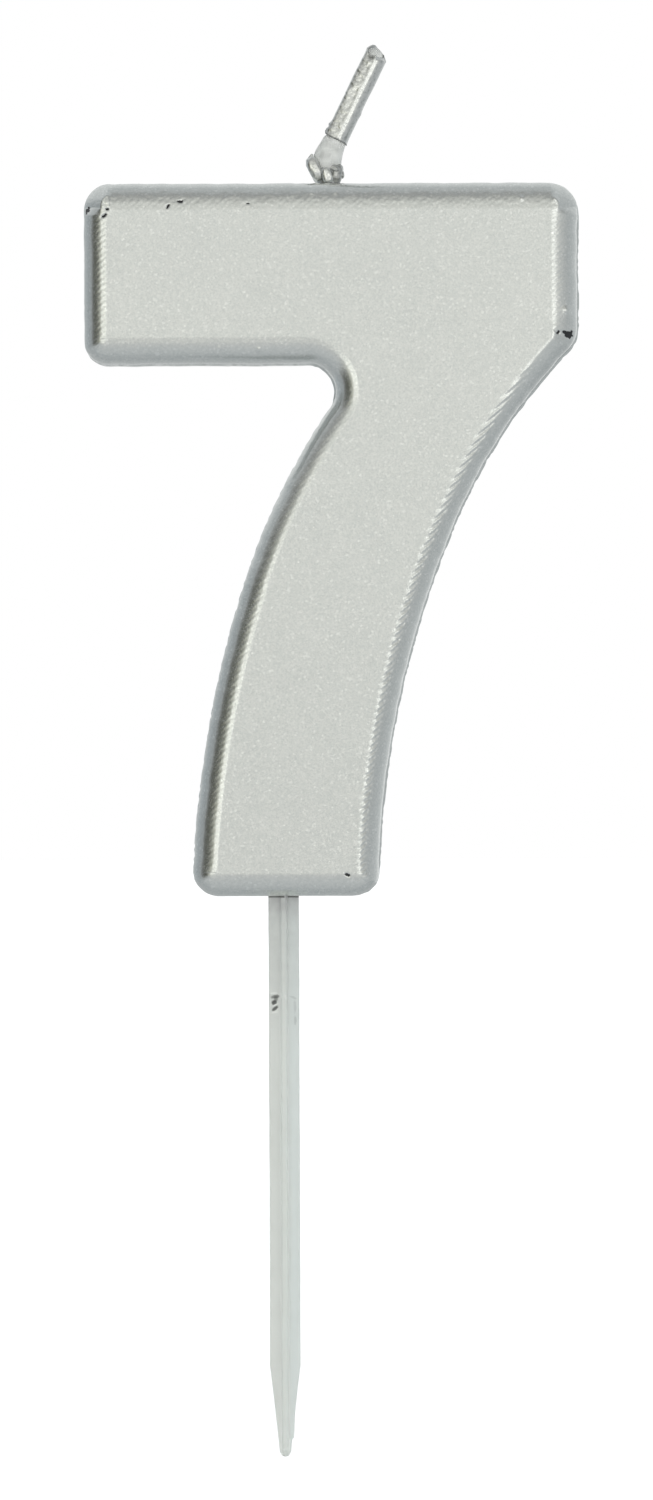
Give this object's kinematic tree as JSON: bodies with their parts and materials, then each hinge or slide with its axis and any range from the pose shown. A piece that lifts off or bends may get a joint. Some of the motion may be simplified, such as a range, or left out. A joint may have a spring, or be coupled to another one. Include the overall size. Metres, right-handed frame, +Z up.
{
  "type": "number birthday candle",
  "caption": "Numeral seven candle of moulded wax with a silver lacquered shell, rounded shoulders, a bent waxed wick on top and a pointed plastic pick for a cake below.",
  "frame": {"origin": "where the pick's axis meets the flat base of the numeral's leg, which is the plane that sits on the cake", "axes": "+Z up along the pick and the numeral's height, +X to the right along the bar as the numeral is read, +Y from the front face to the back, through the thickness"},
  "size_m": [0.0487, 0.009, 0.139],
  "materials": {
    "wax": "satin",
    "silver_lacquer": "satin",
    "pick_plastic": "satin",
    "cotton": "matte",
    "wick_wax": "satin"
  },
  "bodies": {
    "root": {"wax_core": "wax", "silver_coat": "silver_lacquer", "pick": "pick_plastic", "wick_braid": "cotton", "wick_wax_jacket": "wick_wax", "wick_lacquer_sleeve": "silver_lacquer", "wick_lacquer_root": "silver_lacquer"}
  },
  "joints": []
}
